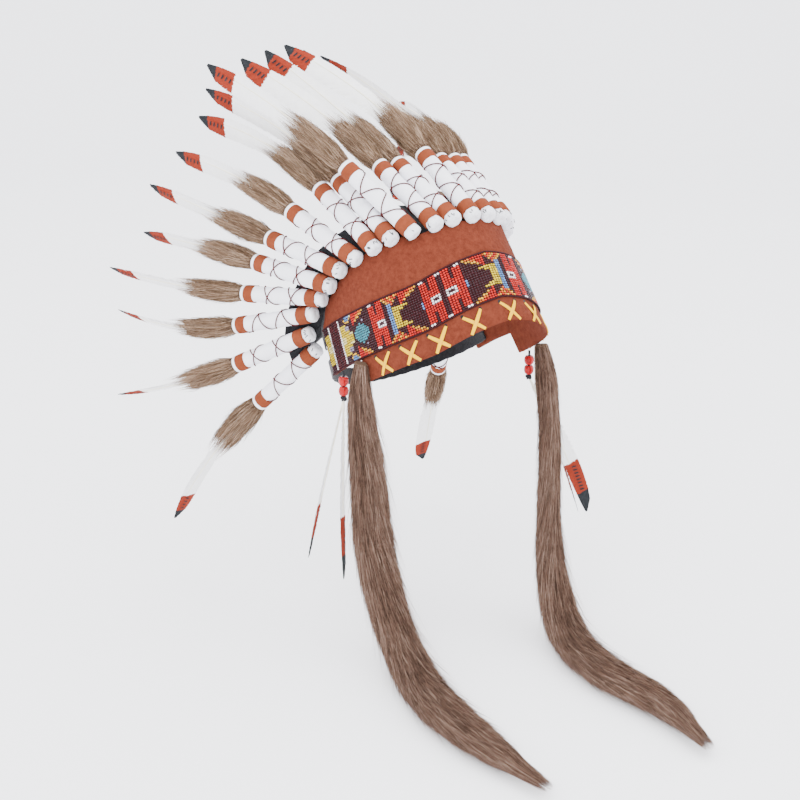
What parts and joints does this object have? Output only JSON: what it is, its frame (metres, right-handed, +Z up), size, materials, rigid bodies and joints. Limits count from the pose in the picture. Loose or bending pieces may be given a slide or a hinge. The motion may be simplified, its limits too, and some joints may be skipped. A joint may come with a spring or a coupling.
{
  "type": "feathered headdress",
  "caption": "Feathered headdress: suede crown with a beaded band, felt quill sleeves with fur tufts and painted feathers fanned round it, long fur tails and feather drops.",
  "frame": {"origin": "middle of the head opening, in the plane of the bead band's lower edge, where the crown sits on a head", "axes": "+Z up as worn, the wearer faces -Y and the wearer's right is -X; the crown is tipped back 32 degrees about X"},
  "size_m": [0.3568, 0.5577, 0.4767],
  "materials": {
    "suede": "brown suede, napped",
    "seed_beads": "opaque glass seed beads on a dark maroon ground",
    "black_felt": "black felt",
    "strap": "black woven elastic",
    "white_felt": "white felt wound on the quills, brown suede cuffs, red-brown thread",
    "plume": "grey-brown fur tuft and white feather with a painted red and black tip",
    "fur": "long grey-brown fur",
    "drop": "white feathers with painted tips under red pony beads"
  },
  "bodies": {
    "root": {"back_strap": "strap", "backing_band": "black_felt", "bead_band": "seed_beads", "crown_panel": "suede", "feather_drop_left": "drop", "feather_drop_right": "drop", "fur_tail_left": "fur", "fur_tail_right": "fur", "plume_centre": "plume", "plume_left_01": "plume", "plume_left_02": "plume", "plume_left_03": "plume", "plume_left_04": "plume", "plume_left_05": "plume", "plume_left_06": "plume", "plume_left_07": "plume", "plume_left_08": "plume", "plume_left_09": "plume", "plume_left_10": "plume", "plume_left_11": "plume", "plume_left_12": "plume", "plume_right_01": "plume", "plume_right_02": "plume", "plume_right_03": "plume", "plume_right_04": "plume", "plume_right_05": "plume", "plume_right_06": "plume", "plume_right_07": "plume", "plume_right_08": "plume", "plume_right_09": "plume", "plume_right_10": "plume", "plume_right_11": "plume", "plume_right_12": "plume", "quill_sleeve_centre": "white_felt", "quill_sleeve_left_01": "white_felt", "quill_sleeve_left_02": "white_felt", "quill_sleeve_left_03": "white_felt", "quill_sleeve_left_04": "white_felt", "quill_sleeve_left_05": "white_felt", "quill_sleeve_left_06": "white_felt", "quill_sleeve_left_07": "white_felt", "quill_sleeve_left_08": "white_felt", "quill_sleeve_left_09": "white_felt", "quill_sleeve_left_10": "white_felt", "quill_sleeve_left_11": "white_felt", "quill_sleeve_left_12": "white_felt", "quill_sleeve_right_01": "white_felt", "quill_sleeve_right_02": "white_felt", "quill_sleeve_right_03": "white_felt", "quill_sleeve_right_04": "white_felt", "quill_sleeve_right_05": "white_felt", "quill_sleeve_right_06": "white_felt", "quill_sleeve_right_07": "white_felt", "quill_sleeve_right_08": "white_felt", "quill_sleeve_right_09": "white_felt", "quill_sleeve_right_10": "white_felt", "quill_sleeve_right_11": "white_felt", "quill_sleeve_right_12": "white_felt"}
  },
  "joints": []
}
